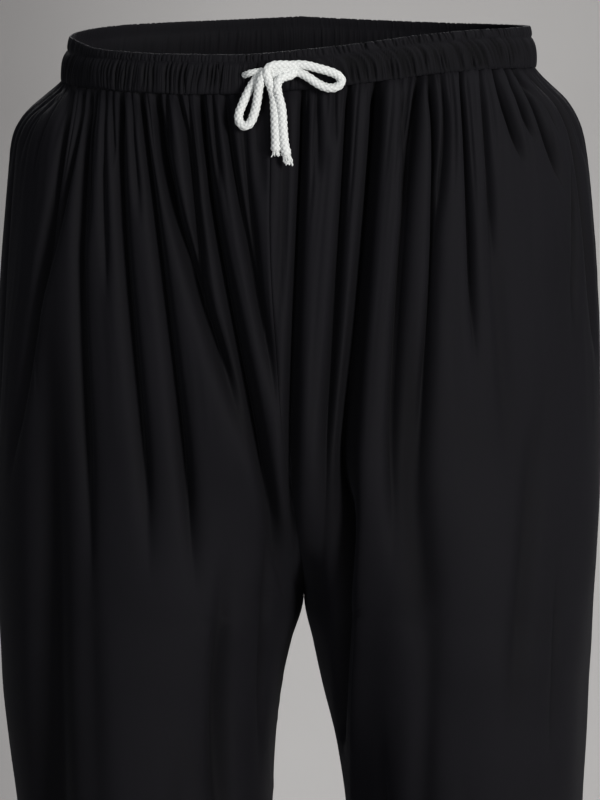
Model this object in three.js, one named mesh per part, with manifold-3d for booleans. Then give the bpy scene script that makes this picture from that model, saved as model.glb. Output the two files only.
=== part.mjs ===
// Wide-legged palazzo pants in thin black cloth, standing open in the form they have when worn: an
// elastic waistband with a ruffled top edge, two front and two back panels gathered onto it, and a
// braided drawstring tied in a bow.
//
// Millimetres, +Z up, front at -Y. The origin is the middle of the waist opening, level with the band's
// top edge at the centre front. The wearer's right leg is at -X. "Drop" is the distance down from the
// band's top edge, which itself rises and falls round the waist, so the upper rows of every panel follow
// the band.
//
// Each half of the garment is one run of cloth, from the centre front round the side to the centre back.
// Its plan at a drop is worked out from the outline table: half an oval at the hips, a whole oval round
// the leg below the crotch, and a mix of the two between. Folds are troughs pressed into that plan along
// its outward direction.
import * as THREE from "three";
import { mergeVertices } from "three/addons/utils/BufferGeometryUtils.js";
import Module from "manifold-3d";

// ---- Driving dimensions ----
const LENGTH = 1010; // outseam, from the band's top edge to the hem
const BAND_HEIGHT = 29.5;
const HEADER_HEIGHT = 7; // the ruffle above the casing's upper line of stitching
const BAND_WALL = 3; // two layers of cloth over the elastic
const CLOTH_WALL = 2;
const SEAM_GAP = 0.3; // between neighbouring pieces
const SAME_POINT = 1e-3; // points this close to each other are one
const CROTCH_DROP = 420;
const CROTCH_X = 3; // the fork lies a little to the wearer's left of the waist's middle
const CROTCH_Y = 8;
const FORK_CURVE = 170; // height over which the centre seams curve in to the fork
const BAND_RIDGES = 112; // gathers round the waistband
const CORD_DIAMETER = 7;

const HIP_SQUARENESS = 2.3; // exponent of the oval: 2 is an ellipse, more is squarer
const LEG_SQUARENESS = 2.15;
const SPLIT_FROM = 285; // drops between which the plan changes from hips to two legs
const SPLIT_TO = 465;
const FORK_SHARE = 0.06; // share of a half's turn beside each centre seam that follows the fork's curve
const FRONT_SHARE = 18; // degrees that set the middle of a leg's front below the same cloth at the hips
const LEVEL_FROM = 30; // drops between which the band's rise and fall dies out
const LEVEL_TO = 200;

// How a fold's depth changes on its way down, and the shape of its section.
const FOLD_START = 0.6; // share of the depth that a fold from the band has at the band
const FOLD_DEEPENS = 25; // drop over which such a fold gets its whole depth
const FOLD_OPENS = 0.4; // share of its run over which any other fold gets its whole depth
const FOLD_FADES = 0.6; // share of its run from which a fold dies out
const FLANK_AT_START = 0.85; // width of a fold's flanks at both ends of its run, over the stated one
const FLANK_AT_END = 1.6;
const FLANK_POWER = 1.5; // a section is exp(-|off / flank| ** power)
const EDGE_ON = 0.04; // cloth seen more edge-on than this has none of the folds stated from that side
const SQUARE_ON = 0.3; // cloth seen more squarely than this has them whole
const SEAM_SIDE = 0.1; // share of a half's run beside a centre seam that stays on its own side of it
const SEAM_CALM = 0.05; // share of it over which folds come to press sideways as well

const NARROWEST = 1.6; // least space between two points of a row
const WIDEST = 32; // most space between two points of a panel's row at the hips
const HIP_DROP = 200;

function table(columns, rows) {
  return rows.map((row) => Object.fromEntries(columns.map((name, i) => [name, row[i]])));
}

// How far the cloth reaches from the origin at each drop. right and left are the wearer's; right_in and
// left_in are the x of the legs' inner edges.
const OUTLINE = table(
  ["drop", "right", "left", "front", "back", "right_in", "left_in"],
  [
    [0, 174, 174, 125, 125, 3, 3],
    [14, 178, 177, 128, 128, 3, 3],
    [30, 181, 179, 129.5, 130, 3, 3],
    [36, 187, 183.5, 132.5, 134, 3, 3],
    [44, 197, 192, 136, 139, 3, 3],
    [54, 209, 203, 139.5, 145, 3, 3],
    [64, 216, 210, 142, 150, 3, 3],
    [76, 220, 215.5, 144.5, 155, 3, 3],
    [95, 222, 219.5, 148, 161, 3, 3],
    [125, 224.5, 223.5, 152, 168, 3, 3],
    [170, 228, 227.5, 156, 175, 3, 3],
    [240, 231.5, 230.5, 158, 178, 3, 3],
    [330, 233.5, 231.5, 156, 171, 3, 3],
    [380, 233.5, 229.5, 153, 165, 3, 3],
    [420, 232.5, 227, 150, 160, 3, 3],
    [453, 231, 225.4, 147, 155, -6.2, 10],
    [484, 229.5, 223.5, 143, 151, -13, 17],
    [530, 224.5, 222.3, 139, 147, -18.5, 28.5],
    [575, 219, 220.5, 134, 143, -20.8, 35.4],
    [650, 212, 219, 129, 138, -22.5, 41],
    [750, 208, 219, 125, 135, -24, 45],
    [880, 206, 220, 122, 134, -25, 47],
    [1010, 207, 222, 121, 134, -25, 48],
  ],
);

// How much higher than at the centre front the band's top edge stands, by degrees round from the front
// towards +X.
const BAND_RISE = table(
  ["around", "rise"],
  [
    [-180, 26],
    [-125, 18],
    [-90, 8],
    [-60, 1.7],
    [-40, -1.4],
    [-20, -2.1],
    [0, 1.2],
    [20, 5.8],
    [40, 11.9],
    [60, 15.8],
    [90, 17.4],
    [125, 20],
    [180, 26],
  ],
);

// Where the centre seams run, and how far round each half its side seam lies.
const SEAMS = table(
  ["drop", "centre_front", "centre_back", "side_right", "side_left"],
  [
    [0, -20, 0, 0.45, 0.475],
    [120, -22, 0, 0.462, 0.48],
    [250, -15, 1, 0.485, 0.49],
    [340, -5, 2, 0.495, 0.495],
    [420, 3, 3, 0.5, 0.5],
    [1010, 3, 3, 0.5, 0.5],
  ],
);

// The drops of each panel's rows, closest together under the band and at the fork.
const PANEL_DROPS = [
  30.2, 37, 47, 60, 78, 100, 128, 160, 195, 232, 270, 308, 342, 373, 398, 412, 424, 436, 452, 475, 520,
  590, 680, 790, 900, LENGTH,
];

// Troughs in the cloth. from and to are drops; x0 to x3 are where the trough's bed lies, seen from the
// front, at the start, a third, two thirds and the end of its run; deep is its depth; toward_right and
// toward_left are how wide its two flanks are, on the wearer's right and left of the bed.
const FOLD_COLUMNS = ["from", "to", "x0", "x1", "x2", "x3", "deep", "toward_right", "toward_left"];
const FRONT_FOLDS = table(FOLD_COLUMNS, [
  [30, 145, -169, -180, -186, -190, 4, 4, 4],
  [30, 290, -155, -161, -159, -158, 6, 5, 4],
  [30, 325, -133, -130, -122, -112, 8, 5, 4],
  [30, 340, -119, -106, -91, -80, 9.5, 5, 5],
  [30, 265, -106, -91, -66, -43, 10, 6, 5],
  [30, 178, -90, -81, -74, -68, 6, 4, 4],
  [30, 425, -73, -55, -29, -11, 12.5, 5, 5],
  [30, 250, -55, -44, -32, -17, 7.5, 4, 4],
  [30, 155, -43, -40, -35, -26, 4, 3, 4],
  [30, 175, -12, -12, -13, -18, 4, 3, 4],
  [30, 425, 2, -3, -7, -1, 10.5, 4, 4],
  [30, 320, 36, 29, 24, 18, 7, 6, 4],
  [30, 580, 58, 41, 32, 36, 14, 10, 5],
  [30, 290, 88, 75, 70, 68, 8, 4, 6],
  [140, 440, 79, 82, 82, 90, 4, 16, 16],
  [150, 860, -186, -189, -191, -190, 9, 26, 26],
  [30, 275, 96, 99, 95, 91, 6, 5, 6],
  [30, 165, 119, 122, 124, 126, 5.5, 3, 3],
  [84, 220, 201, 206, 206, 204, 5, 5, 4],
  [350, 680, -52, -58, -54, -52, 5, 12, 10],
  [235, 490, 181, 168, 160, 148, 2.5, 7, 7],
  [400, 720, 95, 91, 88, 84, 3.5, 14, 14],
  [620, 1100, -158, -160, -163, -165, 6, 14, 14],
  [700, 1100, -100, -100, -99, -98, 6, 12, 14],
  [660, 1100, -60, -58, -58, -57, 5, 12, 10],
  [640, 1100, 84, 82, 82, 81, 5, 11, 13],
  [600, 1100, 128, 130, 131, 132, 6, 14, 13],
  [680, 1100, 176, 178, 180, 181, 5, 13, 12],
]);
const BACK_FOLDS = table(FOLD_COLUMNS, [
  [30, 210, -146, -152, -156, -158, 6, 4, 5],
  [30, 300, -122, -121, -117, -112, 7.5, 5, 5],
  [30, 150, -100, -97, -93, -90, 5, 4, 4],
  [30, 360, -88, -78, -66, -50, 8.5, 5, 5],
  [30, 235, -66, -60, -52, -44, 6.5, 4, 4],
  [30, 400, -43, -34, -22, -10, 9, 5, 5],
  [30, 185, -16, -15, -13, -11, 5, 4, 4],
  [30, 380, 27, 24, 18, 10, 8, 4, 5],
  [30, 250, 52, 48, 43, 38, 6.5, 4, 4],
  [30, 340, 77, 72, 66, 60, 8.5, 5, 5],
  [30, 170, 101, 103, 103, 102, 5, 4, 4],
  [30, 285, 114, 117, 118, 116, 7, 5, 4],
  [30, 200, 139, 147, 152, 154, 5.5, 4, 4],
  [330, 700, -160, -150, -146, -144, 4, 16, 16],
  [360, 640, -70, -64, -62, -60, 4.5, 14, 14],
  [340, 660, 66, 74, 78, 80, 4.5, 14, 14],
  [380, 760, 150, 152, 154, 156, 4, 16, 16],
  [640, 1100, -158, -160, -161, -162, 5.5, 14, 14],
  [680, 1100, -108, -110, -111, -112, 6, 14, 14],
  [650, 1100, -60, -58, -57, -56, 5.5, 12, 12],
  [660, 1100, 82, 84, 84, 85, 6, 12, 12],
  [630, 1100, 132, 134, 135, 136, 6, 14, 14],
  [690, 1100, 180, 182, 183, 184, 5, 12, 12],
]);

// Troughs at the sides, where y0 to y3 are the bed's places seen from that side. side is -1 for the
// wearer's right.
const SIDE_FOLDS = table(
  ["side", "from", "to", "y0", "y1", "y2", "y3", "deep", "toward_front", "toward_back"],
  [
    [-1, 30, 230, -76, -82, -85, -86, 6, 5, 5],
    [-1, 30, 300, -46, -48, -45, -38, 6.5, 5, 5],
    [-1, 30, 180, -12, -11, -9, -6, 5, 4, 4],
    [-1, 30, 260, 20, 23, 24, 22, 6.5, 5, 5],
    [-1, 30, 200, 52, 61, 66, 68, 6, 5, 4],
    [-1, 30, 150, 84, 97, 106, 112, 5, 4, 4],
    [1, 30, 185, -78, -83, -86, -87, 5.5, 4, 5],
    [1, 30, 245, -49, -52, -50, -45, 6.5, 5, 5],
    [1, 30, 290, -17, -17, -14, -8, 6, 5, 4],
    [1, 30, 165, 13, 15, 16, 17, 5, 4, 4],
    [1, 30, 275, 45, 52, 55, 54, 6.5, 5, 5],
    [1, 30, 190, 79, 91, 99, 104, 5.5, 4, 4],
  ],
);

// ---- Curves and mixes ----
const clamp01 = (v) => Math.min(1, Math.max(0, v));
const mix = (a, b, share) => a + (b - a) * share;
const smooth = (a, b, v) => {
  const t = clamp01((v - a) / (b - a));
  return t * t * (3 - 2 * t);
};

// A table's column as a smooth function of its key column, which never overshoots the rows.
function column(rows, key, name) {
  const at = rows.map((row) => row[key]);
  const value = rows.map((row) => row[name]);
  const slope = at.slice(1).map((a, i) => (value[i + 1] - value[i]) / (a - at[i]));
  const tangent = at.map((_, i) => {
    if (i === 0) return slope[0];
    if (i === at.length - 1) return slope[i - 1];
    const [before, after] = [slope[i - 1], slope[i]];
    return before * after <= 0 ? 0 : (2 * before * after) / (before + after);
  });
  return (v) => {
    const i = Math.min(at.length - 2, Math.max(0, at.findIndex((a) => a > v) - 1));
    const k = at[at.length - 1] <= v ? at.length - 2 : i;
    const span = at[k + 1] - at[k];
    const t = clamp01((v - at[k]) / span);
    const [t2, t3] = [t * t, t * t * t];
    return (
      (2 * t3 - 3 * t2 + 1) * value[k] +
      (t3 - 2 * t2 + t) * span * tangent[k] +
      (3 * t2 - 2 * t3) * value[k + 1] +
      (t3 - t2) * span * tangent[k + 1]
    );
  };
}

const outline = {};
for (const name of ["right", "left", "front", "back", "right_in", "left_in"])
  outline[name] = column(OUTLINE, "drop", name);
const seam = {};
for (const name of ["centre_front", "centre_back", "side_right", "side_left"])
  seam[name] = column(SEAMS, "drop", name);
const bandRise = column(BAND_RISE, "around", "rise");

const roundPower = (v, squareness) => Math.sign(v) * Math.abs(v) ** (2 / squareness);

// ---- Plan of one half of the garment ----
// side is -1 for the wearer's right half and 1 for the left. turn runs from 0 at the centre front or
// inseam, through 0.5 at the outside, to 1 at the centre back or inseam.
function hipPoint(side, drop, turn) {
  const angle = Math.PI * (turn - (FRONT_SHARE / 180) * Math.sin(2 * Math.PI * turn));
  const forward = Math.cos(angle);
  const reach = side < 0 ? outline.right(drop) : outline.left(drop);
  const middle = forward > 0 ? seam.centre_front(drop) : seam.centre_back(drop);
  const depth = forward > 0 ? outline.front(drop) : outline.back(drop);
  const x = side * reach * roundPower(Math.sin(angle), HIP_SQUARENESS) + middle * forward * forward;
  return [x, -depth * roundPower(forward, HIP_SQUARENESS)];
}

function legPoint(side, drop, turn) {
  const angle = 2 * Math.PI * turn;
  const outer = side < 0 ? -outline.right(drop) : outline.left(drop);
  const inner = side < 0 ? outline.right_in(drop) : outline.left_in(drop);
  const ahead = Math.sin(angle);
  const depth = ahead > 0 ? outline.front(drop) + CROTCH_Y : outline.back(drop) - CROTCH_Y;
  const x = (outer + inner) / 2 - ((outer - inner) / 2) * roundPower(Math.cos(angle), LEG_SQUARENESS);
  return [x, CROTCH_Y - depth * roundPower(ahead, LEG_SQUARENESS)];
}

// How far the plan at this turn has changed from hips to leg. At the centre seams it follows the curve
// of the fork, a cubic that steepens to the fork itself; elsewhere it changes evenly.
function legShare(drop, turn) {
  const even = smooth(SPLIT_FROM, SPLIT_TO, drop);
  const fork = clamp01((drop - CROTCH_DROP + FORK_CURVE) / FORK_CURVE) ** 3;
  const fromSeam = Math.min(turn, 1 - turn);
  return mix(even, fork, Math.exp(-((fromSeam / FORK_SHARE) ** 2)));
}

// The half's plan at a drop, as a function from the share of its length to a point with its outward
// direction.
const PLAN_STEPS = 160;
const planCache = new Map();
function plan(side, drop) {
  const key = side + ":" + drop;
  if (planCache.has(key)) return planCache.get(key);
  const points = [];
  for (let i = 0; i <= PLAN_STEPS; i++) {
    const turn = i / PLAN_STEPS;
    const share = legShare(drop, turn);
    const [hip, leg] = [hipPoint(side, drop, turn), legPoint(side, drop, turn)];
    points.push([mix(hip[0], leg[0], share), mix(hip[1], leg[1], share)]);
  }
  const run = [0];
  for (let i = 1; i <= PLAN_STEPS; i++)
    run.push(run[i - 1] + Math.hypot(points[i][0] - points[i - 1][0], points[i][1] - points[i - 1][1]));
  const length = run[PLAN_STEPS];
  const direction = (i) => {
    const [a, b] = [points[Math.max(0, i - 1)], points[Math.min(PLAN_STEPS, i + 1)]];
    const size = Math.hypot(b[0] - a[0], b[1] - a[1]);
    return [(side * (b[1] - a[1])) / size, (-side * (b[0] - a[0])) / size];
  };
  const at = (share) => {
    const target = clamp01(share) * length;
    let i = Math.min(PLAN_STEPS - 1, Math.max(0, run.findIndex((r) => r > target) - 1));
    if (target >= run[PLAN_STEPS - 1]) i = PLAN_STEPS - 1;
    const part = (target - run[i]) / (run[i + 1] - run[i]);
    const [from, to] = [direction(i), direction(i + 1)];
    const out = [mix(from[0], to[0], part), mix(from[1], to[1], part)];
    const size = Math.hypot(...out);
    return {
      x: mix(points[i][0], points[i + 1][0], part),
      y: mix(points[i][1], points[i + 1][1], part),
      outX: out[0] / size,
      outY: out[1] / size,
    };
  };
  // The share at which the run from one of its points to another passes a given x (axis 0) or y (axis 1).
  const shareWhere = (axis, value, from, to) => {
    const step = Math.sign(to - from);
    const rising = Math.sign(points[to][axis] - points[from][axis]);
    let i = from;
    while (i !== to && rising * points[i][axis] < rising * value) i += step;
    const before = Math.min(PLAN_STEPS, Math.max(0, i - step));
    const span = points[i][axis] - points[before][axis];
    const part = span === 0 ? 0 : clamp01((value - points[before][axis]) / span);
    return mix(run[before], run[i], part) / length;
  };
  const made = { length, at, shareWhere };
  planCache.set(key, made);
  return made;
}

function heightAt(x, y, drop) {
  const around = (Math.atan2(x, -y) * 180) / Math.PI;
  return -drop + bandRise(around) * (1 - smooth(LEVEL_FROM, LEVEL_TO, drop));
}

// ---- Folds ----
function foldDepth(fold, drop) {
  const t = (drop - fold.from) / (fold.to - fold.from);
  if (t < 0 || t > 1) return 0;
  const startsAtBand = fold.from <= BAND_HEIGHT + 1;
  const rise = startsAtBand
    ? mix(FOLD_START, 1, smooth(0, FOLD_DEEPENS, drop - fold.from))
    : smooth(0, FOLD_OPENS, t);
  return fold.deep * rise * (1 - smooth(FOLD_FADES, 1, t));
}

// The cubic through the bed's four stated places.
function foldBed(fold, drop) {
  const t = 3 * clamp01((drop - fold.from) / (fold.to - fold.from));
  const places = "x0" in fold ? [fold.x0, fold.x1, fold.x2, fold.x3] : [fold.y0, fold.y1, fold.y2, fold.y3];
  return (
    (-places[0] * (t - 1) * (t - 2) * (t - 3)) / 6 +
    (places[1] * t * (t - 2) * (t - 3)) / 2 -
    (places[2] * t * (t - 1) * (t - 3)) / 2 +
    (places[3] * t * (t - 1) * (t - 2)) / 6
  );
}

// How deep the troughs lie at a place along the x or y that they are stated in. facing is how squarely
// the cloth faces the side that they are seen from; low and high name the widths of the two flanks.
function troughs(folds, drop, place, facing, low, high) {
  let depth = 0;
  for (const fold of folds) {
    const deep = foldDepth(fold, drop);
    if (deep === 0) continue;
    const off = (place - foldBed(fold, drop)) / Math.max(facing, SQUARE_ON);
    const t = clamp01((drop - fold.from) / (fold.to - fold.from));
    const flank = (off < 0 ? fold[low] : fold[high]) * mix(FLANK_AT_START, FLANK_AT_END, t);
    depth += deep * Math.exp(-(Math.abs(off / flank) ** FLANK_POWER));
  }
  return depth * smooth(EDGE_ON, SQUARE_ON, facing);
}

function foldsOf(side, front) {
  const facing = front ? FRONT_FOLDS : BACK_FOLDS;
  return { facing, atSide: SIDE_FOLDS.filter((fold) => fold.side === side) };
}

function pressedIn(side, front, drop, at) {
  const { facing, atSide } = foldsOf(side, front);
  return (
    troughs(facing, drop, at.x, Math.abs(at.outY), "toward_right", "toward_left") +
    troughs(atSide, drop, at.y, Math.abs(at.outX), "toward_front", "toward_back")
  );
}

// The shares of the run at which a panel's rows have their beds: one for each fold, which keeps its
// share above its start and below its end, and one for each end of the row.
function bedShares(side, front, drop, first, last) {
  const centre = front ? 0 : PLAN_STEPS;
  const { facing, atSide } = foldsOf(side, front);
  const where = (fold, axis, to) => {
    const level = Math.min(fold.to, Math.max(fold.from, drop));
    return plan(side, level).shareWhere(axis, foldBed(fold, level), axis === 0 ? centre : 0, to);
  };
  const beds = [
    ...facing.filter((fold) => side * fold.x0 > 0).map((fold) => where(fold, 0, PLAN_STEPS / 2)),
    ...atSide.filter((fold) => front === (fold.y0 < 0)).map((fold) => where(fold, 1, PLAN_STEPS)),
  ].sort((a, b) => a - b);
  const least = NARROWEST / plan(side, drop).length;
  const shares = [first, ...beds, last];
  for (let i = 1; i < shares.length; i++) shares[i] = Math.max(shares[i], shares[i - 1] + 2 * least);
  shares[shares.length - 1] = last;
  for (let i = shares.length - 2; i > 0; i--) shares[i] = Math.min(shares[i], shares[i + 1] - 2 * least);
  return shares;
}

// Every row has the same number of points: the beds, and between each two as many as the space between
// them at the hips needs, at least a crest.
function rowShares(side, front, drop, ends) {
  const at = bedShares(side, front, drop, ...ends(drop));
  const hips = bedShares(side, front, HIP_DROP, ...ends(HIP_DROP));
  const { length } = plan(side, HIP_DROP);
  const shares = [at[0]];
  for (let i = 1; i < at.length; i++) {
    const parts = Math.max(2, Math.ceil(((hips[i] - hips[i - 1]) * length) / WIDEST));
    for (let part = 1; part <= parts; part++) shares.push(mix(at[i - 1], at[i], part / parts));
  }
  return shares;
}

// ---- Meshes ----
// Joins two rows of points, which may have different numbers of them, with a strip of triangles.
const evenly = (row) => row.map((_, i) => i / (row.length - 1));
function strip(upper, lower, flip, faces) {
  const [along, alongLower] = [evenly(upper), evenly(lower)];
  let [i, j] = [0, 0];
  const triangle = (a, b, c) => faces.push(flip ? [a, c, b] : [a, b, c]);
  const middle = (shares, k) => (shares[k] + shares[k + 1]) / 2;
  while (i < upper.length - 1 || j < lower.length - 1) {
    const next = middle(along, i);
    const nextBelow = middle(alongLower, j);
    if (j === lower.length - 1 || (i < upper.length - 1 && next < nextBelow)) {
      triangle(upper[i], lower[j], upper[i + 1]);
      i++;
    } else {
      triangle(upper[i], lower[j], lower[j + 1]);
      j++;
    }
  }
}

function meshOf(name, faces, material) {
  const positions = new Float32Array(faces.flat(2));
  const geometry = new THREE.BufferGeometry();
  geometry.setAttribute("position", new THREE.BufferAttribute(positions, 3));
  const mesh = new THREE.Mesh(mergeVertices(geometry, SAME_POINT), material);
  mesh.geometry.computeVertexNormals();
  mesh.name = name;
  return mesh;
}

// A wall between an outer and an inner skin of rows, closed along its four edges.
function wallFaces(outer, inner, flip) {
  const faces = [];
  for (let r = 0; r < outer.length - 1; r++) {
    strip(outer[r], outer[r + 1], flip, faces);
    strip(inner[r], inner[r + 1], !flip, faces);
  }
  strip(inner[0], outer[0], flip, faces);
  strip(outer.at(-1), inner.at(-1), flip, faces);
  const edge = (skin, end) => skin.map((row) => row.at(end));
  strip(edge(outer, 0), edge(inner, 0), flip, faces);
  strip(edge(inner, -1), edge(outer, -1), flip, faces);
  return faces;
}

// Keeps a point of one half on its own side of the centre seams, as far down as the fork.
function besideSeam(side, x, drop, front) {
  const centre = front ? seam.centre_front(drop) : seam.centre_back(drop);
  const middle = mix(centre, CROTCH_X, legShare(drop, 0));
  return middle + side * Math.max(side * (x - middle), SEAM_GAP / 2);
}

function panelPoint(side, front, drop, share, inward) {
  const at = plan(side, drop).at(share);
  const fromCentre = front ? share : 1 - share;
  const nearSeam = drop <= CROTCH_DROP && fromCentre < SEAM_SIDE;
  const pressed = pressedIn(side, front, drop, at);
  const sideways = nearSeam ? pressed * smooth(0, SEAM_CALM, fromCentre) : pressed;
  const x = at.x - at.outX * (sideways + inward);
  const y = at.y - at.outY * (pressed + inward);
  return [nearSeam ? besideSeam(side, x, drop, front) : x, y, heightAt(at.x, at.y, drop)];
}

// One of the four panels, from under the band to the hem.
function panel(name, side, front, material) {
  const ends = (drop) => {
    const sideSeam = side < 0 ? seam.side_right(drop) : seam.side_left(drop);
    const trim = SEAM_GAP / 2 / plan(side, drop).length;
    return front ? [trim, sideSeam - trim] : [sideSeam + trim, 1 - trim];
  };
  const [outer, inner] = [[], []];
  for (const drop of PANEL_DROPS) {
    const shares = rowShares(side, front, drop, ends);
    outer.push(shares.map((share) => panelPoint(side, front, drop, share, 0)));
    inner.push(shares.map((share) => panelPoint(side, front, drop, share, CLOTH_WALL)));
  }
  return meshOf(name, wallFaces(outer, inner, side < 0), material);
}

// ---- Waistband ----
// Rows of the band's outer skin: drop, how far it swells beyond the cloth's line, and how high its
// gathers stand.
const BAND_ROWS = table(
  ["drop", "swell", "gather"],
  [
    [0, 0.4, 0.8],
    [HEADER_HEIGHT, 0.2, 0.5],
    [17, 1.6, 1.1],
    [BAND_HEIGHT, 0.2, 0.7],
  ],
);
const BAND_SLANT = 0.55; // degrees of turn for each millimetre of drop, where the band is twisted
const TWIST_FULL = 40; // degrees from the front at which the twist of the left half is whole
const TWIST_FADES = 70;
const TWIST_ENDS = 110;
const INNER_SPACES = 112; // spaces between points round the band's inner skin

function bandPoint(around, drop, out) {
  const side = around < 0 ? -1 : 1;
  const at = plan(side, drop).at(Math.min(1, Math.abs(around) / 180));
  return [at.x + at.outX * out, at.y + at.outY * out, heightAt(at.x, at.y, drop)];
}

function waistband(material) {
  const outer = BAND_ROWS.map(({ drop, swell, gather }) =>
    Array.from({ length: 2 * BAND_RIDGES + 1 }, (_, i) => {
      const wrapped = i % (2 * BAND_RIDGES);
      const straight = (wrapped / BAND_RIDGES) * 180 - 180;
      const twist = smooth(0, TWIST_FULL, straight) * (1 - smooth(TWIST_FADES, TWIST_ENDS, straight));
      return bandPoint(straight + BAND_SLANT * twist * drop, drop, swell + (wrapped % 2) * gather);
    }),
  );
  const inner = [0, BAND_HEIGHT].map((drop) =>
    Array.from({ length: INNER_SPACES + 1 }, (_, i) =>
      bandPoint(((i % INNER_SPACES) / INNER_SPACES) * 360 - 180, drop, -BAND_WALL),
    ),
  );
  const faces = [];
  for (let r = 0; r < outer.length - 1; r++) strip(outer[r], outer[r + 1], false, faces);
  strip(inner[0], inner[1], true, faces);
  strip(inner[0], outer[0], false, faces);
  strip(outer.at(-1), inner[1], false, faces);
  return meshOf("waistband", faces, material);
}

// ---- Drawstring ----
const CORD_SIDES = 8;
const FEWEST_STEPS = 3; // along a strand
const KNOT_SIDES = 10;
const KNOT_END_STEPS = 3; // steps of a knot turn's rounded ends
// Routes of the bow's strands, from the knot outwards, in x, y, z.
const ROUTES = {
  drawstring_lead_right: [
    [-40.2, -133.4, -15.9],
    [-35, -134.2, -15],
    [-29, -135.2, -12.6],
  ],
  drawstring_loop_right: [
    [-27.2, -135.3, -20.3],
    [-33.3, -135.8, -26.4],
    [-38.2, -137.2, -33.2],
    [-42.2, -139.4, -40.5],
    [-44, -141.6, -47],
    [-42.2, -143.4, -52.3],
    [-38.2, -144, -54],
    [-34.2, -143.6, -51.4],
    [-31.2, -142.4, -45.4],
    [-29.8, -141.6, -38.4],
    [-29.2, -141.8, -32.4],
    [-27.9, -142.2, -27.6],
  ],
  drawstring_loop_left: [
    [-1, -135.6, -9.8],
    [8, -135.4, -11],
    [16.5, -135.2, -12.6],
    [24.5, -135, -14.2],
    [29.8, -134.8, -17.2],
    [31, -135, -21.8],
    [28, -135.6, -25.8],
    [22.4, -136, -27.2],
    [15.4, -136.2, -26],
    [8.6, -136, -22.6],
    [2, -135.8, -18.4],
  ],
  drawstring_tail_right: [
    [-19.4, -138.8, -32.6],
    [-19, -141.4, -44],
    [-18.6, -144, -56],
    [-18.8, -146.4, -66],
    [-19.4, -148.2, -75.4],
  ],
  drawstring_tail_left: [
    [-14.2, -144, -32.6],
    [-13.4, -146.2, -44],
    [-12.4, -148.2, -56],
    [-11.5, -148.9, -66],
    [-10.6, -149.9, -75],
    [-8.6, -150.8, -83],
  ],
};
// The knot is three short turns of cord pressed together: their ends and how thick each is.
const KNOT_TURNS = table(
  ["x0", "z0", "x1", "z1", "y", "radius"],
  [
    [-24.5, -11, -6, -10.6, -135.5, 4],
    [-22, -17.5, -3.4, -16.9, -135.7, 4.2],
    [-21.8, -18, -15.8, -26.5, -139, 5.2],
  ],
);

function closed(geometry) {
  const bare = geometry.clone();
  bare.deleteAttribute("normal");
  bare.deleteAttribute("uv");
  return mergeVertices(bare, SAME_POINT);
}

function strand(name, route, material) {
  const path = new THREE.CatmullRomCurve3(route.map((p) => new THREE.Vector3(...p)));
  const section = new THREE.Shape();
  for (let i = 0; i < CORD_SIDES; i++) {
    const angle = (i / CORD_SIDES) * 2 * Math.PI;
    const [x, y] = [Math.cos(angle), Math.sin(angle)].map((v) => (v * CORD_DIAMETER) / 2);
    if (i === 0) section.moveTo(x, y);
    else section.lineTo(x, y);
  }
  section.closePath();
  const steps = Math.max(FEWEST_STEPS, Math.round(path.getLength() / CORD_DIAMETER));
  const geometry = new THREE.ExtrudeGeometry(section, { steps, extrudePath: path, bevelEnabled: false });
  const mesh = new THREE.Mesh(closed(geometry), material);
  mesh.name = name;
  return mesh;
}

const wasm = await Module();
wasm.setup();

function solid(geometry) {
  const merged = closed(geometry);
  return new wasm.Manifold(
    new wasm.Mesh({
      numProp: 3,
      vertProperties: merged.attributes.position.array,
      triVerts: new Uint32Array(merged.index.array),
    }),
  );
}

function knot(material) {
  const turns = KNOT_TURNS.map(({ x0, z0, x1, z1, y, radius }) => {
    const [from, to] = [new THREE.Vector3(x0, y, z0), new THREE.Vector3(x1, y, z1)];
    const turn = new THREE.CapsuleGeometry(radius, from.distanceTo(to), KNOT_END_STEPS, KNOT_SIDES);
    const up = new THREE.Vector3(0, 1, 0);
    const along = new THREE.Vector3().subVectors(to, from).normalize();
    turn.applyQuaternion(new THREE.Quaternion().setFromUnitVectors(up, along));
    turn.translate(...from.add(to).multiplyScalar(0.5).toArray());
    return solid(turn);
  });
  const joined = turns.reduce((all, turn) => all.add(turn)).getMesh();
  const geometry = new THREE.BufferGeometry();
  geometry.setAttribute("position", new THREE.BufferAttribute(joined.vertProperties, 3));
  geometry.setIndex(new THREE.BufferAttribute(joined.triVerts, 1));
  geometry.computeVertexNormals();
  const mesh = new THREE.Mesh(geometry, material);
  mesh.name = "drawstring_knot";
  return mesh;
}

// ---- The garment ----
const cloth = new THREE.MeshStandardMaterial({ color: 0x1c1b1e, roughness: 0.78, metalness: 0 });
const band = new THREE.MeshStandardMaterial({ color: 0x19191b, roughness: 0.8, metalness: 0 });
const cotton = new THREE.MeshStandardMaterial({ color: 0xe6e8e2, roughness: 0.9, metalness: 0 });

const pants = new THREE.Group();
pants.add(waistband(band));
pants.add(panel("front_right", -1, true, cloth));
pants.add(panel("front_left", 1, true, cloth));
pants.add(panel("back_right", -1, false, cloth));
pants.add(panel("back_left", 1, false, cloth));
const drawstring = new THREE.Group();
drawstring.add(knot(cotton));
for (const [name, route] of Object.entries(ROUTES)) drawstring.add(strand(name, route, cotton));
pants.add(drawstring);

export default pants;
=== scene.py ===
"""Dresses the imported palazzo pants: four black cloth panels gathered onto an elastic waistband with a
ruffled header, and a braided white drawstring tied in a bow. Sizes are in millimetres.

"Drop" is the distance down from the waistband's top edge. The front is at -Y and the wearer's right leg
at -X. Each half of the garment is one run of cloth, from the centre front (share 0) round the side to the
centre back (share 1), and a panel is a stretch of that run.
"""

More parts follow.
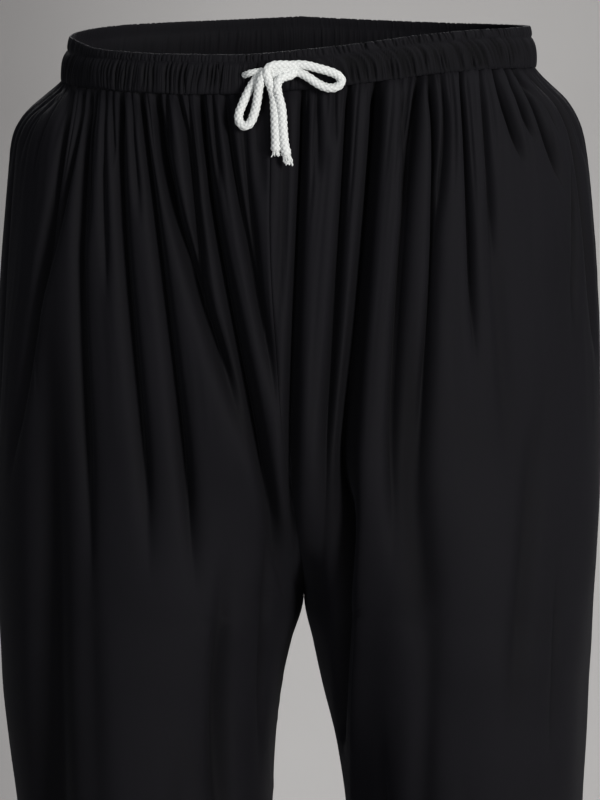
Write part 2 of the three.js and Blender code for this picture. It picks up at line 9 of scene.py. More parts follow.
import bmesh
import bpy
import numpy as np
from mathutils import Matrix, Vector


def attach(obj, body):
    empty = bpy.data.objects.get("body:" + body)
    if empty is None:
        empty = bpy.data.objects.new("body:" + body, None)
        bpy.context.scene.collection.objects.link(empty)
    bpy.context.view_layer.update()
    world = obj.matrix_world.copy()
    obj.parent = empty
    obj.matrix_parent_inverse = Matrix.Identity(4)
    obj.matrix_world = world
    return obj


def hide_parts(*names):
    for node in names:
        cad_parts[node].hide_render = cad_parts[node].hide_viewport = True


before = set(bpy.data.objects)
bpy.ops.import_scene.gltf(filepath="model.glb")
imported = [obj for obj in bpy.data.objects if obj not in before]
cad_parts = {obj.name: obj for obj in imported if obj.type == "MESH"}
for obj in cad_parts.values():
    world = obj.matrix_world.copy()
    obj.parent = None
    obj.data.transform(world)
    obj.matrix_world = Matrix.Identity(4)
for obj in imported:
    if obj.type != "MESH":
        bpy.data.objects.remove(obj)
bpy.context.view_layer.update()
MM = 0.001


def table(names, rows):
    """A table with a row for each section or fold, as a dict of named columns."""
    return dict(zip(names.split(), np.array(rows, dtype=float).T))


# ---- Driving dimensions ----
BAND_HEIGHT = 29.5
FOLD_TOP = 30  # drop at which the cloth below the band, and the folds from it, start
CLOTH = 0.8  # thickness of a panel's cloth
HEM_DROP = 1010
HEM_FOLD = 22  # height of the turned-up hem
SEAM_ALLOWANCE = 9
CROTCH_DROP = 420
CROTCH_Y = 8
FORK_CURVE = 170  # height over which the centre seams curve in to the fork
HIP_SQUARENESS = 2.3  # exponent of the oval plan: 2 is an ellipse, more is squarer
LEG_SQUARENESS = 2.15
SPLIT_FROM, SPLIT_TO = 285, 465  # drops between which the plan changes from hips to two legs
FRONT_SHARE = 18  # degrees that set the middle of a leg's front below the same cloth at the hips
LEVEL_FROM, LEVEL_TO = 30, 200  # drops between which the band's rise and fall dies out
CORD_DIAMETER = 7

# Reach of the cloth from the origin at each drop. right and left are the wearer's; right_in and left_in
# are the x of the legs' inner edges. BAND_RISE is how much higher than at the centre front the band's top
# stands, by degrees from the front towards +X. SEAMS gives where the centre seams run, and the share of
# each half at which its side seam lies.
OUTLINE = table("drop right left front back right_in left_in", [
    (0, 174, 174, 125, 125, 3, 3),
    (14, 178, 177, 128, 128, 3, 3),
    (30, 181, 179, 129.5, 130, 3, 3),
    (36, 187, 183.5, 132.5, 134, 3, 3),
    (44, 197, 192, 136, 139, 3, 3),
    (54, 209, 203, 139.5, 145, 3, 3),
    (64, 216, 210, 142, 150, 3, 3),
    (76, 220, 215.5, 144.5, 155, 3, 3),
    (95, 222, 219.5, 148, 161, 3, 3),
    (125, 224.5, 223.5, 152, 168, 3, 3),
    (170, 228, 227.5, 156, 175, 3, 3),
    (240, 231.5, 230.5, 158, 178, 3, 3),
    (330, 233.5, 231.5, 156, 171, 3, 3),
    (380, 233.5, 229.5, 153, 165, 3, 3),
    (420, 232.5, 227, 150, 160, 3, 3),
    (453, 231, 225.4, 147, 155, -6.2, 10),
    (484, 229.5, 223.5, 143, 151, -13, 17),
    (530, 224.5, 222.3, 139, 147, -18.5, 28.5),
    (575, 219, 220.5, 134, 143, -20.8, 35.4),
    (650, 212, 219, 129, 138, -22.5, 41),
    (750, 208, 219, 125, 135, -24, 45),
    (880, 206, 220, 122, 134, -25, 47),
    (1010, 207, 222, 121, 134, -25, 48),
])
BAND_RISE = table("around rise", [
    (-180, 26), (-125, 18), (-90, 8), (-60, 1.7), (-40, -1.4), (-20, -2.1), (0, 1.2),
    (20, 5.8), (40, 11.9), (60, 15.8), (90, 17.4), (125, 20), (180, 26),
])
SEAMS = table("drop centre_front centre_back side_right side_left", [
    (0, -20, 0, 0.45, 0.475),
    (120, -22, 0, 0.462, 0.48),
    (250, -15, 1, 0.485, 0.49),
    (340, -5, 2, 0.495, 0.495),
    (420, 3, 3, 0.5, 0.5),
    (1010, 3, 3, 0.5, 0.5),
])
def fold_table(from_band, lower=()):
    """Troughs: from and to are drops, a to d the places of the bed at four even steps of its run, in x at
    the front and back and in y at the sides, deep its depth, and low and high the widths of its flanks
    towards lower and higher places. The rows of from_band leave out from, which is FOLD_TOP."""
    rows = [(FOLD_TOP, *row) for row in from_band] + list(lower)
    return table("from to a b c d deep low high", rows)


FRONT_FOLDS = fold_table([
    (330, -169, -186, -203, -219, 8, 6, 4),
    (200, -161, -170, -183, -196, 6, 5, 4),
    (410, -155, -162, -158, -156, 8.5, 5, 5),
    (150, -150, -154, -156, -157, 4.5, 3, 3),
    (190, -144, -144, -143, -141, 4.5, 3, 3),
    (90, -139, -139, -138, -138, 4, 3, 3),
    (400, -133, -128, -117, -109, 9.5, 5, 5.5),
    (130, -125, -122, -119, -116, 4, 3, 3),
    (420, -119, -101, -86, -74, 11, 5, 5.5),
    (310, -106, -89, -60, -34, 13, 6, 7),
    (130, -98, -97, -94, -90, 4.5, 3, 3),
    (195, -90, -80, -74, -68, 8.5, 4, 5),
    (110, -82, -80, -78, -76, 4.5, 3, 3),
    (425, -73, -55, -29, -11, 15, 5, 6.5),
    (105, -64, -62, -60, -57, 4.5, 3, 3),
    (280, -55, -43, -27, -13, 9.5, 4, 5),
    (190, -43, -39, -33, -25, 5.5, 3, 3.5),
    (110, -32, -31, -29, -27, 4.5, 3, 3),
    (215, -12, -12, -14, -18, 5, 3, 3.5),
    (425, 2, -3, -7, -1, 13, 4, 5),
    (100, 13, 13, 13, 12, 4.5, 3, 3),
    (80, 26, 26, 26, 26, 4, 3, 3),
    (400, 36, 28, 20, 15, 9.5, 5, 5),
    (450, 58, 46, 34, 27, 16, 9, 6),
    (90, 74, 75, 75, 76, 4, 2.6, 2.6),
    (125, 81, 78, 76, 74, 5, 2.6, 2.6),
    (390, 88, 74, 68, 67, 11, 3.6, 6),
    (345, 96, 98, 92, 88, 8.5, 3.6, 4.5),
    (140, 104, 107, 104, 100, 5.5, 2.8, 2.8),
    (240, 119, 123, 126, 129, 8, 2.6, 2.6),
    (165, 134, 137, 140, 142, 5.5, 2.6, 2.6),
    (100, 145, 152, 160, 168, 8.5, 3.4, 3.4),
    (88, 154, 163, 171, 179, 7, 3.4, 3.4),
    (118, 161, 177, 189, 199, 8.5, 4, 4),
], [
    (140, 440, 79, 82, 82, 90, 4, 16, 16),
    (84, 220, 201, 206, 206, 204, 5, 5, 4),
    (350, 680, -52, -58, -54, -52, 5, 12, 10),
    (280, 760, -158, -155, -152, -150, 3, 18, 14),
    (235, 490, 181, 168, 160, 148, 2.5, 7, 7),
    (400, 720, 95, 91, 88, 84, 3.5, 14, 14),
    (620, 1100, -158, -160, -163, -165, 6, 14, 14),
    (700, 1100, -100, -100, -99, -98, 6, 12, 14),
    (660, 1100, -60, -58, -58, -57, 5, 12, 10),
    (640, 1100, 84, 82, 82, 81, 5, 11, 13),
    (600, 1100, 128, 130, 131, 132, 6, 14, 13),
    (680, 1100, 176, 178, 180, 181, 5, 13, 12),
])
BACK_FOLDS = fold_table([
    (120, -158, -168, -176, -182, 4, 4, 4),
    (210, -146, -152, -156, -158, 6, 4, 5),
    (90, -134, -136, -137, -138, 3, 3, 3),
    (300, -122, -121, -117, -112, 7.5, 5, 5),
    (80, -111, -111, -110, -110, 3, 3, 3),
    (150, -100, -97, -93, -90, 5, 4, 4),
    (360, -88, -78, -66, -50, 8.5, 5, 5),
    (95, -77, -75, -73, -72, 3.5, 3, 3),
    (235, -66, -60, -52, -44, 6.5, 4, 4),
    (85, -55, -54, -53, -52, 3, 3, 3),
    (400, -43, -34, -22, -10, 9, 5, 5),
    (130, -30, -29, -27, -25, 4, 3, 4),
    (185, -16, -15, -13, -11, 5, 4, 4),
    (110, 14, 14, 13, 12, 4, 3, 3),
    (380, 27, 24, 18, 10, 8, 4, 5),
    (90, 40, 41, 42, 43, 3, 3, 3),
    (250, 52, 48, 43, 38, 6.5, 4, 4),
    (105, 65, 66, 66, 67, 3.5, 3, 3),
    (340, 77, 72, 66, 60, 8.5, 5, 5),
    (80, 89, 90, 91, 92, 3, 3, 3),
    (170, 101, 103, 103, 102, 5, 4, 4),
    (285, 114, 117, 118, 116, 7, 5, 4),
    (92, 126, 130, 132, 134, 3, 3, 3),
    (200, 139, 147, 152, 154, 5.5, 4, 4),
    (115, 152, 163, 172, 179, 4, 4, 4),
], [
    (330, 700, -160, -150, -146, -144, 4, 16, 16),
    (360, 640, -70, -64, -62, -60, 4.5, 14, 14),
    (340, 660, 66, 74, 78, 80, 4.5, 14, 14),
    (380, 760, 150, 152, 154, 156, 4, 16, 16),
    (640, 1100, -158, -160, -161, -162, 5.5, 14, 14),
    (680, 1100, -108, -110, -111, -112, 6, 14, 14),
    (650, 1100, -60, -58, -57, -56, 5.5, 12, 12),
    (660, 1100, 82, 84, 84, 85, 6, 12, 12),
    (630, 1100, 132, 134, 135, 136, 6, 14, 14),
    (690, 1100, 180, 182, 183, 184, 5, 12, 12),
])
RIGHT_SIDE_FOLDS = fold_table([
    (90, -60, -63, -65, -66, 2, 3, 3),
    (300, -46, -48, -45, -38, 4, 5, 5),
    (105, -32, -33, -33, -32, 3.5, 4, 4),
    (180, -12, -11, -9, -6, 5, 4, 4),
    (95, 4, 5, 6, 6, 3, 3, 3),
    (260, 20, 23, 24, 22, 6.5, 5, 5),
    (110, 36, 40, 43, 44, 3.5, 4, 4),
    (200, 52, 61, 66, 68, 6, 5, 4),
])
LEFT_SIDE_FOLDS = fold_table([
    (85, -63, -66, -68, -69, 3, 3, 3),
    (245, -49, -52, -50, -45, 6.5, 5, 5),
    (100, -35, -36, -36, -36, 3.5, 4, 4),
    (290, -17, -17, -14, -8, 6, 5, 4),
    (90, -2, -1, 0, 0, 3, 3, 3),
    (165, 13, 15, 16, 17, 5, 4, 4),
    (105, 29, 32, 34, 35, 3.5, 4, 4),
    (275, 45, 52, 55, 54, 6.5, 5, 5),
    (95, 62, 70, 75, 78, 3.5, 3, 3),
])
# Broad soft hollows of the legs' fronts.
SOFT_FOLDS = fold_table([], [
    (340, 640, -52, -56, -58, -60, 4, 13, 11),
    (300, 560, -20, -24, -28, -32, 4, 7, 9),
    (150, 860, -186, -189, -191, -190, 11, 26, 26),
    (190, 650, 41, 31, 29, 30, 15, 6, 7.5),
    (300, 860, 45, 42, 44, 49, -4, 7, 22),
    (200, 520, 80, 84, 90, 96, 4.5, 14, 14),
    (230, 560, 184, 172, 160, 150, 3, 8, 12),
    (360, 560, 191, 191, 189, 186, 3, 6, 9),
    (90, 330, 132, 142, 150, 156, 2.5, 9, 12),
    (480, 900, 60, 64, 70, 76, 6, 14, 10),
    (520, 960, 120, 126, 132, 136, 7, 12, 14),
    (560, 990, 176, 180, 184, 186, 6, 10, 12),
    (500, 940, -90, -94, -98, -100, 6, 14, 12),
    (560, 990, -150, -154, -157, -160, 7, 12, 12),
])


# ---- Mixes and curves ----
def mix(a, b, share):
    return a + (b - a) * share


def smooth(low, high, v):
    """0 below low and 1 above high, with a cubic between them."""
    t = np.clip((v - low) / (high - low), 0, 1)
    return t * t * (3 - 2 * t)


def bell(off, width, power=2):
    """1 at off = 0 and falling on both sides, as a sharp notch where power is low."""
    return np.exp(-(np.abs(off / width) ** power))


def together(*values):
    """Values as the last axis of one array."""
    return np.stack(np.broadcast_arrays(*values), axis=-1)


def curve(at, value):
    """A smooth function through values at some places: cubics that never overshoot them."""
    slope = np.diff(value) / np.diff(at)
    before, after = slope[:-1], slope[1:]
    turns = before * after <= 0
    inner = np.where(turns, 0, 2 * before * after / np.where(turns, 1, before + after))
    tangent = np.concatenate([slope[:1], inner, slope[-1:]])

    def read(v):
        v = np.clip(v, at[0], at[-1])
        i = np.clip(np.searchsorted(at, v, side="right") - 1, 0, len(at) - 2)
        span = at[i + 1] - at[i]
        t = (v - at[i]) / span
        leaning = span * t * (1 - t) * ((1 - t) * tangent[i] - t * tangent[i + 1])
        return mix(value[i], value[i + 1], t * t * (3 - 2 * t)) + leaning

    return read


OUT = {name: curve(OUTLINE["drop"], column) for name, column in OUTLINE.items()}
SEAM = {name: curve(SEAMS["drop"], column) for name, column in SEAMS.items()}
band_rise = curve(*BAND_RISE.values())


# ---- Plan of one half of the garment ----
def hand(side):
    return "right" if side < 0 else "left"


def round_power(v, squareness):
    """An oval's coordinate: v to the power 2 / squareness, with its sign."""
    return np.sign(v) * np.abs(v) ** (2 / squareness)


def hip_plan(side, drop, turn):
    """Half an oval, from the centre front round the side to the centre back."""
    angle = np.pi * (turn - FRONT_SHARE / 180 * np.sin(2 * np.pi * turn))
    ahead = np.cos(angle)
    reach = OUT[hand(side)](drop)
    middle = np.where(ahead > 0, SEAM["centre_front"](drop), SEAM["centre_back"](drop))
    depth = np.where(ahead > 0, OUT["front"](drop), OUT["back"](drop))
    x = side * reach * round_power(np.maximum(np.sin(angle), 0), HIP_SQUARENESS) + middle * ahead**2
    return x, -depth * round_power(ahead, HIP_SQUARENESS)


def leg_plan(side, drop, turn):
    """A whole oval, from the inseam round the front, the outside and the back."""
    angle = 2 * np.pi * turn
    outer, inner = side * OUT[hand(side)](drop), OUT[hand(side) + "_in"](drop)
    ahead = np.sin(angle)
    depth = np.where(ahead > 0, OUT["front"](drop) + CROTCH_Y, OUT["back"](drop) - CROTCH_Y)
    x = (outer + inner) / 2 - (outer - inner) / 2 * round_power(np.cos(angle), LEG_SQUARENESS)
    return x, CROTCH_Y - depth * round_power(ahead, LEG_SQUARENESS)


def leg_share(drop, turn):
    """How far the plan has changed from hips to leg: at the centre seams a cubic that steepens to the
    fork, elsewhere an even change."""
    even = smooth(SPLIT_FROM, SPLIT_TO, drop)
    fork = np.clip((drop - CROTCH_DROP + FORK_CURVE) / FORK_CURVE, 0, 1) ** 3
    return mix(even, fork, bell(np.minimum(turn, 1 - turn), 0.06))


class Run:
    """One half's plan at some drops: a row of points for each, from the centre front to the centre back,
    with outward directions at right angles to the row, read by the share of the row's length."""

    STEPS = 480

    def __init__(self, side, drop):
        self.side, self.drop = side, np.asarray(drop, float)
        down, turn = self.drop[:, None], np.linspace(0, 1, self.STEPS + 1)[None, :]
        share = leg_share(down, turn)
        hip, leg = hip_plan(side, down, turn), leg_plan(side, down, turn)
        self.x, self.y = mix(hip[0], leg[0], share), mix(hip[1], leg[1], share)
        steps = np.hypot(np.diff(self.x), np.diff(self.y))
        run = np.concatenate([np.zeros((len(steps), 1)), np.cumsum(steps, axis=1)], axis=1)
        self.length, self.run = run[:, -1], run / run[:, -1:]
        ahead_x, ahead_y = np.gradient(self.x, axis=1), np.gradient(self.y, axis=1)
        size = np.hypot(ahead_x, ahead_y)
        self.out_x, self.out_y = side * ahead_y / size, -side * ahead_x / size

    def at(self, share):
        """x, y and outward direction at shares of each row."""
        shift = 2 * np.arange(len(self.drop))[:, None]
        wanted, known = (share + shift).ravel(), (self.run + shift).ravel()
        lines = (self.x, self.y, self.out_x, self.out_y)
        return [np.interp(wanted, known, line.ravel()).reshape(share.shape) for line in lines]

    def where(self, front, x):
        """Share of each row at which it passes that row's x, on its front or its back."""
        found = []
        for line, run, value in zip(self.side * self.x, self.run, self.side * x):
            far = np.argmax(line)
            part = slice(0, far + 1) if front else slice(None, far - 1 if far else None, -1)
            found.append(np.interp(value, line[part], run[part]))
        return np.array(found)


def height_at(x, y, drop):
    """The drop turned into z, raised with the band's top edge near the band."""
    around = np.degrees(np.arctan2(x, -y))
    return -drop + band_rise(around) * (1 - smooth(LEVEL_FROM, LEVEL_TO, drop))


# ---- Folds, gathers and waves of the cloth ----
def bed(places, t):
    """The cubic through a fold's four places at t = 0, 1/3, 2/3 and 1."""
    a, b, c, d = places
    t = 3 * t
    return (
        -a * (t - 1) * (t - 2) * (t - 3) / 6
        + b * t * (t - 2) * (t - 3) / 2
        - c * t * (t - 1) * (t - 3) / 2
        + d * t * (t - 1) * (t - 2) / 6
    )


def troughs(folds, drop, place, facing):
    """Depth of the folds at places along the axis of their beds. A fold's section is a narrow notch in a
    wider hollow, wider where the cloth turns away and rounder in a broad fold. A fold deepens
    below the band and dies out over the second half of its run."""
    depth = np.zeros(np.broadcast_shapes(drop.shape, place.shape))
    for i, (start, end) in enumerate(zip(folds["from"], folds["to"])):
        t = np.clip((drop - start) / (end - start), 0, 1)
        inside = (drop >= start) & (drop <= end)
        at_band = start == FOLD_TOP
        rise = mix(0.6, 1, smooth(0, 20, drop - start)) if at_band else smooth(0, 0.4, t)
        deep = folds["deep"][i] * rise * (1 - smooth(0.6, 1, t)) * inside
        off = (place - bed([folds[k][i] for k in "abcd"], t)) / np.maximum(facing, 0.3)
        flank = np.where(off < 0, folds["low"][i], folds["high"][i])
        power = mix(1.25, 2, smooth(4, 8, flank))
        core = bell(off, flank * mix(0.42, 1.1, t), power)
        depth += deep * (1.15 * core + 0.28 * bell(off, flank * mix(1.2, 2, t)))
    return depth * smooth(0.04, 0.3, facing)


def waves(seed, count, lengths, place, drop):
    """Long waves down the cloth: a sum of sines of the place round it, each drifting a little with the
    drop and swelling and fading along it."""
    draw = np.random.default_rng(seed)
    total = 0
    for _ in range(count):
        length, drift = draw.uniform(*lengths), draw.uniform(-0.1, 0.1)
        start, fade, long = draw.uniform(0, 2 * np.pi, 2).tolist() + [draw.uniform(120, 420)]
        swell = 0.55 + 0.45 * np.sin(2 * np.pi * drop / long + fade)
        total = total + swell * np.sin(2 * np.pi * (place + drift * drop) / length + start)
    return total / np.sqrt(count)


HIP_RUN = 720  # length round one half at the hips, by which broad waves are spaced
BAND_RUN = 474  # length round one half at the band
FULLNESS = 1.5  # length of cloth gathered onto each length of band
PUCKER_PITCH = 3.9  # gathers at the band's seam
CREASE_PITCH = 5.6  # short creases that run down from the gathers
# The least and the most of each crease: its length, depth, width and drift along the band per mm down.
CREASE_FROM, CREASE_TO = [14, 0.9, 0.6, -0.015], [120, 2.6, 1.1, 0.015]
HOLLOW = 10  # depth at which a fold's painted shade is as dark as it gets
SEAM_CALM = 8  # distance from a seam within which the cloth lies smooth
SEAM_GROOVE, SEAM_WIDTH = 0.75, 1.3
STITCH_GROOVE, STITCH_WIDTH, STITCH_AWAY = 0.3, 1, 3.2  # the line of stitches beside a seam
RIPPLE, RIPPLE_REACH = 0.35, 7  # what the stitches draw the cloth beside a seam into
FAINT_SEAM = 0.35  # share of the centre front seam's grooves that is left low down


def puckers(seed, place, drop):
    """Small ridges that start at the band's seam and die out below it. place is the distance along it."""
    phase = place / PUCKER_PITCH + 0.8 * np.sin(place / 13 + seed) + 0.4 * np.sin(place / 5.1 + 2 * seed)
    fade = np.exp(-np.maximum(drop - FOLD_TOP, 0) / (8 + 5 * np.sin(place / 7.3 + seed)))
    return 1.2 * (1 - np.abs(np.sin(np.pi * phase))) * fade


def creases(seed, place, drop):
    """Short sharp creases down from the band, one at every CREASE_PITCH of it, with seeded sizes."""
    draw = np.random.default_rng(seed)
    below, depth = drop - FOLD_TOP, 0
    for k in range(int(BAND_RUN / CREASE_PITCH)):
        start = (k + 0.5 + draw.uniform(-0.35, 0.35)) * CREASE_PITCH
        long, deep, width, drift = draw.uniform(CREASE_FROM, CREASE_TO)
        t = np.clip(below / long, 0, 1)
        notch = bell(place - start - drift * below, width * (1 + 0.7 * t), 1.3)
        depth = depth + deep * (1 - smooth(0.25, 1, t)) * smooth(-4, 10, below) * notch
    return depth


def cloth(side, front, drop, share, inward, edges=(), place=None):
    """Points of a half's cloth at drops (one a row) and shares (a row for each drop), and how hollow it is
    there, from 0 to 1, which the material paints into the colour as shade in the folds. Each is the plan's
    point, pressed in by folds, waves, the creases that start at a place along the band, the seams at
    edges, and inward."""
    run = Run(side, drop)
    x, y, out_x, out_y = run.at(share)
    down = run.drop[:, None]
    fold_drop = np.maximum(down, FOLD_TOP)
    facing = FRONT_FOLDS if front else BACK_FOLDS
    beside = RIGHT_SIDE_FOLDS if side < 0 else LEFT_SIDE_FOLDS
    from_centre = np.minimum(share, 1 - share)
    pressed = troughs(facing, fold_drop, x, np.abs(out_y)) + troughs(beside, fold_drop, y, np.abs(out_x))
    if front:
        pressed += troughs(SOFT_FOLDS, down, x, np.abs(out_y))
    free = smooth(0, 0.03, from_centre)
    upper = 1 - smooth(250, 620, down)
    broad = waves(5 + side, 8, (60, 170), share * HIP_RUN, down)
    pressed += free * mix(1.6, 1.1, upper) * smooth(60, 200, down) * broad
    away = [np.abs(share - edge) * run.length[:, None] for edge in edges]
    if place is not None:
        calm = free
        for distance in away:
            calm = calm * (1 - bell(distance, SEAM_CALM))
        begun = smooth(FOLD_TOP, 60, down)
        small = puckers(3 + side, place, down) + creases(40 + side, place, down)
        spread = FULLNESS * place
        small += 0.5 * begun * (1 - smooth(200, 340, down)) * waves(11 + side, 9, (14, 38), spread, down)
        small += 0.16 * begun * (1 - smooth(150, 330, down)) * waves(31 + side, 12, (5, 11), spread, down)
        pressed += calm * small
    for distance in away:
        faint = mix(1, FAINT_SEAM, smooth(170, 260, down) * (share < 0.2))
        pressed += faint * SEAM_GROOVE * bell(distance, SEAM_WIDTH)
        pressed += faint * STITCH_GROOVE * bell(distance - STITCH_AWAY, STITCH_WIDTH)
        pressed += RIPPLE * bell(distance, RIPPLE_REACH) * np.sin(down / 2.1 + 3 * np.sin(down / 17))
    sideways = mix(smooth(0, 0.05, from_centre), 1, smooth(CROTCH_DROP, CROTCH_DROP + 50, down))
    ahead, z = y - out_y * (pressed + inward), height_at(x, y, down)
    points = together(x - out_x * (pressed * sideways + inward), ahead, z)
    return points, np.clip(pressed / HOLLOW, 0, 1)


# ---- Meshes ----
def add(name, data):
    """An object with its data, in the scene."""
    made = bpy.data.objects.new(name, data)
    bpy.context.scene.collection.objects.link(made)
    return made


def surface(name, points, quads, material):
    """A smooth mesh with a material."""
    mesh = bpy.data.meshes.new(name)
    mesh.from_pydata(points.reshape(-1, 3), [], quads)
    mesh.polygons.foreach_set("use_smooth", np.ones(len(quads), bool))
    mesh.materials.append(material)
    return mesh


def grid(points, close_rows=False, close_columns=False):
    """Quads between neighbouring points of a grid of rows and columns, as vertex numbers."""
    rows, columns = points.shape[:2]
    number = np.arange(rows * columns).reshape(rows, columns)
    if close_rows:
        number = np.vstack([number, number[:1]])
    if close_columns:
        number = np.hstack([number, number[:, :1]])
    quads = [number[:-1, :-1], number[1:, :-1], number[1:, 1:], number[:-1, 1:]]
    return np.stack(quads, axis=-1).reshape(-1, 4)


def piece(name, parts, slot, replaced=()):
    """One mesh made of grids, given as (points, quads, uv) and often the relief that its material reads as
    painted shade in its colour, with uv in millimetres along the cloth."""
    counts = np.cumsum([0] + [part[0].reshape(-1, 3).shape[0] for part in parts])
    points = np.concatenate([part[0].reshape(-1, 3) for part in parts]) * MM
    quads = np.concatenate([part[1] + count for part, count in zip(parts, counts)])
    uv = np.concatenate([part[2].reshape(-1, 2) for part in parts]) * MM
    mesh = surface(name, points, quads, MATERIALS[slot])
    mesh.uv_layers.new(name="UVMap").data.foreach_set("uv", uv[quads.ravel()].ravel())
    if len(parts[0]) > 3:
        relief = np.concatenate([part[3].ravel() for part in parts]).astype(np.float32)
        mesh.attributes.new("relief", "FLOAT", "POINT").data.foreach_set("value", relief)
    mesh.validate()
    mesh.update()
    made = add(name, mesh)
    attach(made, "root")
    if replaced:
        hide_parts(*replaced)
    return made


def weld(made):
    """Merges a piece's points that lie on each other, which closes seams and poles."""
    shell = bmesh.new()
    shell.from_mesh(made.data)
    bmesh.ops.remove_doubles(shell, verts=shell.verts, dist=1e-6)
    shell.to_mesh(made.data)
    shell.free()


def thicken(made, thickness):
    """Gives a piece's surface its cloth's thickness, inwards."""
    wall = made.modifiers.new("cloth", "SOLIDIFY")
    wall.thickness = thickness * MM
    wall.offset = -1


# ---- Panels ----
FRONT_COLUMNS, BACK_COLUMNS = 338, 204
EDGE_STEPS = np.array([0, 0.5, 1, 1.6, 2.3, 3.2, 4.4, 6]) / 350  # closer points beside a seam
LONG_FOLD = 140  # drop that a fold reaches for a column of points to follow it
BEDS_APART = 0.004  # least share between two folds' beds
SEAM_GAP = 0.08  # from a panel's edge to the middle of its seam
ALLOWANCE_IN, ALLOWANCE_CLOTH = 1.15, 0.6  # how far a turned-in edge lies inside, and its thickness


def panel_path():
    """Drops and inward offsets of a panel's rows: tucked under the band, down to the hem, round its edge
    and up the inside to where the hem is stitched."""
    drops = [
        [26.5, 28.6, 30],
        np.arange(31, 130, 3.3),
        np.arange(130, 366, 10),
        np.arange(366, 522, 4),
        np.arange(522, 580, 10),
        np.arange(580, 980, 25),
        np.arange(982, HEM_DROP - 0.5, 2),
    ]
    outside = np.concatenate(drops)
    groove = 0.45 * bell(outside - HEM_DROP + HEM_FOLD, 0.9)
    inward = groove + 2.4 * (1 - smooth(26, 31, outside))
    round_edge = [(HEM_DROP, 0.1), (HEM_DROP + 0.5, 0.8), (HEM_DROP, 1.6)]
    inside = [(HEM_DROP - rise, 1.75) for rise in (3, 8, 14, HEM_FOLD - 1, HEM_FOLD)]
    path = np.array(list(zip(outside, inward)) + round_edge + inside)
    return path[:, 0], path[:, 1]


def long_beds(side, front, drop, first, last):
    """Shares at which the long folds from the band have their beds in each row, between the panel's edges.
    Below its end a fold keeps the share that it ended at."""
    folds = FRONT_FOLDS if front else BACK_FOLDS
    own = (side * folds["a"] > 0) & (folds["from"] == FOLD_TOP) & (folds["to"] >= LONG_FOLD)
    beds = [first]
    for i in np.flatnonzero(own):
        start, end = folds["from"][i], folds["to"][i]
        level = np.clip(drop, start, end)
        place = bed([folds[k][i] for k in "abcd"], (level - start) / (end - start))
        beds.append(Run(side, level).where(front, place))
    beds = np.sort(np.stack(beds + [last], axis=1), axis=1)
    apart = BEDS_APART * np.arange(beds.shape[1])
    beds = np.maximum.accumulate(beds - apart, axis=1) + apart
    above = apart[-1] - apart
    return np.minimum(beds, beds[:, -1:].clip(None, last[:, None]) - above)


def panel(facing, side):
    """A front or back panel of one leg, from under the waistband to its turned-up hem. Its columns of
    points run down along the long folds."""
    front, node = facing == "front", f"{facing}_{hand(side)}"
    drop, inward = panel_path()
    run = Run(side, drop)
    middle = np.linspace(0, 1, FRONT_COLUMNS if front else BACK_COLUMNS)[1:-1]
    inner = mix(EDGE_STEPS[-1], 1 - EDGE_STEPS[-1], middle)
    spread = np.unique(np.concatenate([EDGE_STEPS, inner, 1 - EDGE_STEPS]))
    side_seam = SEAM["side_" + hand(side)](drop)
    gap = SEAM_GAP / run.length
    first = gap if front else side_seam + gap
    last = side_seam - gap if front else 1 - gap
    beds = long_beds(side, front, drop, first, last)
    even = beds.mean(axis=0)
    even = (even - even[0]) / (even[-1] - even[0])
    share = np.stack([np.interp(spread, even, row) for row in beds])
    at_band = np.interp(spread, even, beds[np.argmin(np.abs(drop - FOLD_TOP))]) * BAND_RUN
    edges = (first[:, None], last[:, None])
    # hollow is painted as shade into the cloth's colour in its folds
    points, hollow = cloth(side, front, drop, share, inward[:, None], edges, at_band[None, :])
    if side < 0:
        points, share, hollow = points[:, ::-1], share[:, ::-1], hollow[:, ::-1]
    uv = together(share * run.length[:, None], drop[:, None])
    made = piece(node + "_panel", [(points, grid(points), uv, hollow)], "cloth", [node])
    thicken(made, CLOTH)
    return made


def seam_allowances():
    """The turned-in edges along every seam, as strips that lie inside the panels and bridge the seams."""
    drop = np.arange(FOLD_TOP, HEM_DROP - 2, 6.0)
    parts = []
    for side in (-1, 1):
        run = Run(side, drop)
        width = SEAM_ALLOWANCE / run.length[:, None]
        side_seam = SEAM["side_" + hand(side)](drop)[:, None]
        across = np.linspace(0, 1, 6)[None, :]
        strips = [(True, across * width), (False, 1 - (1 - across) * width)]
        strips += [(True, side_seam - width * (1 - across)), (False, side_seam + width * across)]
        for front, share in strips:
            points, _ = cloth(side, front, drop, share, ALLOWANCE_IN)
            points = points[:, ::-1] if side < 0 else points
            uv = together(share * run.length[:, None], drop[:, None])
            parts.append((points, grid(points), uv))
    made = piece("seam_allowances", parts, "cloth")
    thicken(made, ALLOWANCE_CLOTH)
    return made


# ---- Waistband ----
BAND_COLUMNS = 2300
TWIST_REACH, TWIST_DEPTH = 6.5, 5  # how far the left front's gathers slant, and over what drop
DEEPEST = 4  # most that a gather can cut into the casing
INSIDE = 0.4  # share of a gather's depth that shows inside the band
FAINTEST, BOLDEST = 2.2, 4.2  # how strongly the gathers cut in, and on the front's left half
LOST = 0.85  # share of a gather's depth that is lost where it fades out
SECTION_STEP = 2.2  # length of cloth from one row of the section to the next
STITCH_DROP = 7.6  # line of stitches between the ruffled header and the elastic's casing
